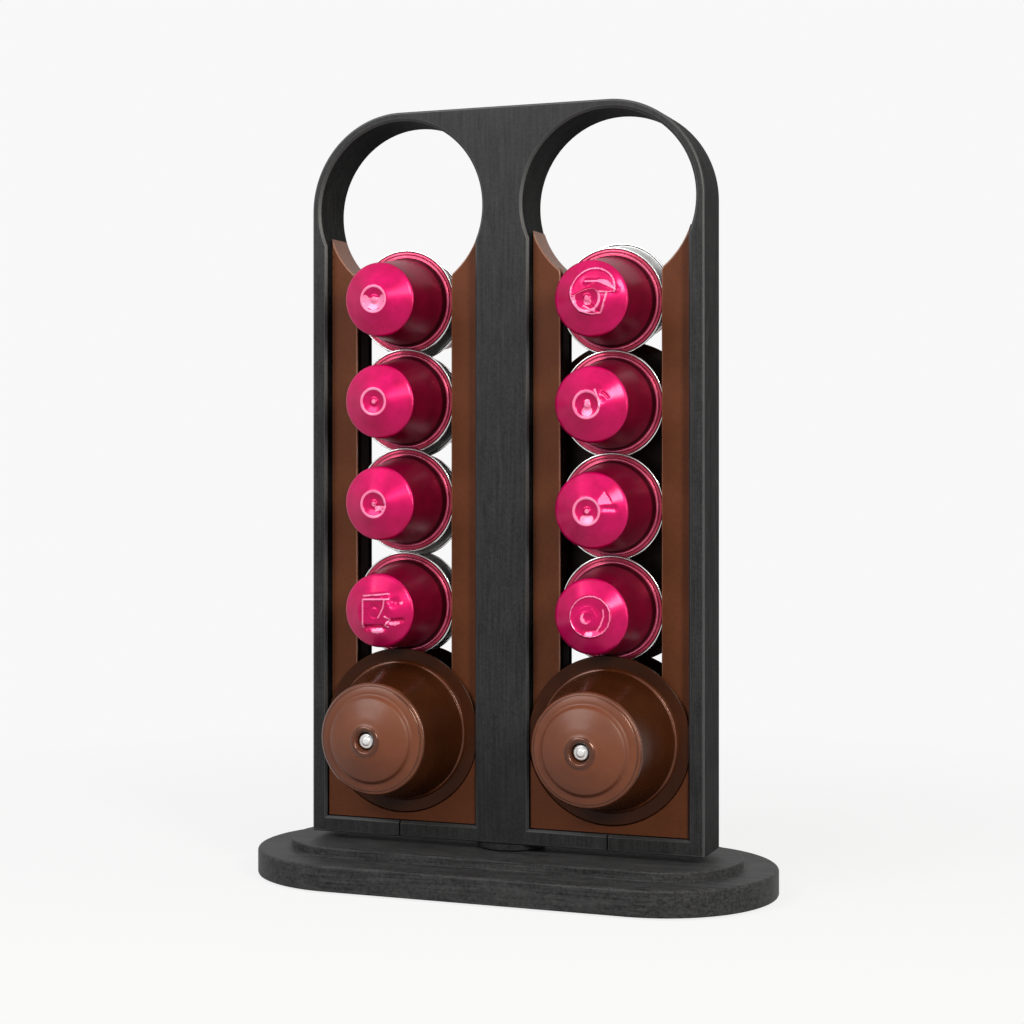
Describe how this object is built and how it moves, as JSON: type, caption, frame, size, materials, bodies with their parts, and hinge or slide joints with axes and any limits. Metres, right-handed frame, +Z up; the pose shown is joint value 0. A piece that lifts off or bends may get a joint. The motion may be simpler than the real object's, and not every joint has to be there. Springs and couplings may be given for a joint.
{
  "type": "coffee capsule dispenser",
  "caption": "Upright two-column capsule tower on an oval base it turns on, loaded front and back with small and large coffee capsules.",
  "frame": {"origin": "middle of the footprint, on the surface that the feet stand on, on the swivel's axis", "axes": "+Z up, -Y out of the front face, +X along the base to the right seen from the front"},
  "size_m": [0.188, 0.081, 0.2697],
  "materials": {
    "charcoal_print": "matt printed plastic with fine layer lines",
    "chocolate_print": "satin printed plastic",
    "foot_rubber": "matt",
    "screw_steel": "zinc plated",
    "insert_brass": "turned",
    "pink_aluminium": "pink lacquer on drawn aluminium",
    "brown_plastic": "satin",
    "silver_foil": "bright foil"
  },
  "bodies": {
    "base": {"base": "charcoal_print", "foot_front_left": "foot_rubber", "foot_front_right": "foot_rubber", "foot_rear_left": "foot_rubber", "foot_rear_right": "foot_rubber", "pivot_washer": "screw_steel"},
    "tower": {"tower_frame": "charcoal_print", "left_insert": "chocolate_print", "right_insert": "chocolate_print", "pivot_screw": "screw_steel", "threaded_insert": "insert_brass", "front_left_large_1_shell": "brown_plastic", "front_left_large_1_lid": "silver_foil", "front_left_large_1_bead": "silver_foil", "front_left_small_1_shell": "pink_aluminium", "front_left_small_1_lid": "silver_foil", "front_left_small_2_shell": "pink_aluminium", "front_left_small_2_lid": "silver_foil", "front_left_small_3_shell": "pink_aluminium", "front_left_small_3_lid": "silver_foil", "front_right_large_1_shell": "brown_plastic", "front_right_large_1_lid": "silver_foil", "front_right_large_1_bead": "silver_foil", "front_right_small_1_shell": "pink_aluminium", "front_right_small_1_lid": "silver_foil", "front_right_small_2_shell": "pink_aluminium", "front_right_small_2_lid": "silver_foil", "front_right_small_3_shell": "pink_aluminium", "front_right_small_3_lid": "silver_foil", "rear_left_large_1_shell": "brown_plastic", "rear_left_large_1_lid": "silver_foil", "rear_left_large_1_bead": "silver_foil", "rear_left_small_1_shell": "pink_aluminium", "rear_left_small_1_lid": "silver_foil", "rear_left_small_2_shell": "pink_aluminium", "rear_left_small_2_lid": "silver_foil", "rear_left_small_3_shell": "pink_aluminium", "rear_left_small_3_lid": "silver_foil", "rear_right_large_1_shell": "brown_plastic", "rear_right_large_1_lid": "silver_foil", "rear_right_large_1_bead": "silver_foil", "rear_right_large_2_shell": "brown_plastic", "rear_right_large_2_lid": "silver_foil", "rear_right_large_2_bead": "silver_foil", "rear_right_large_3_shell": "brown_plastic", "rear_right_large_3_lid": "silver_foil", "rear_right_large_3_bead": "silver_foil"},
    "front_left_top_capsule": {"front_left_small_4_shell": "pink_aluminium", "front_left_small_4_lid": "silver_foil"},
    "front_right_top_capsule": {"front_right_small_4_shell": "pink_aluminium", "front_right_small_4_lid": "silver_foil"},
    "rear_left_top_capsule": {"rear_left_small_4_shell": "pink_aluminium", "rear_left_small_4_lid": "silver_foil"},
    "rear_right_top_capsule": {"rear_right_small_1_shell": "pink_aluminium", "rear_right_small_1_lid": "silver_foil"}
  },
  "joints": [
    {"name": "tower_swivel", "type": "hinge", "parent": "base", "child": "tower", "pos_m": [0, 0, 0.0151], "axis": [0, 0, 1], "continuous": true},
    {"name": "front_left_lift", "type": "slide", "parent": "tower", "child": "front_left_top_capsule", "axis": [0, 0, 1], "range_m": [0, 0.0326]},
    {"name": "front_right_lift", "type": "slide", "parent": "tower", "child": "front_right_top_capsule", "axis": [0, 0, 1], "range_m": [0, 0.0344]},
    {"name": "rear_left_lift", "type": "slide", "parent": "tower", "child": "rear_left_top_capsule", "axis": [0, 0, 1], "range_m": [0, 0.0344]},
    {"name": "rear_right_lift", "type": "slide", "parent": "tower", "child": "rear_right_top_capsule", "axis": [0, 0, 1], "range_m": [0, 0.032]}
  ]
}
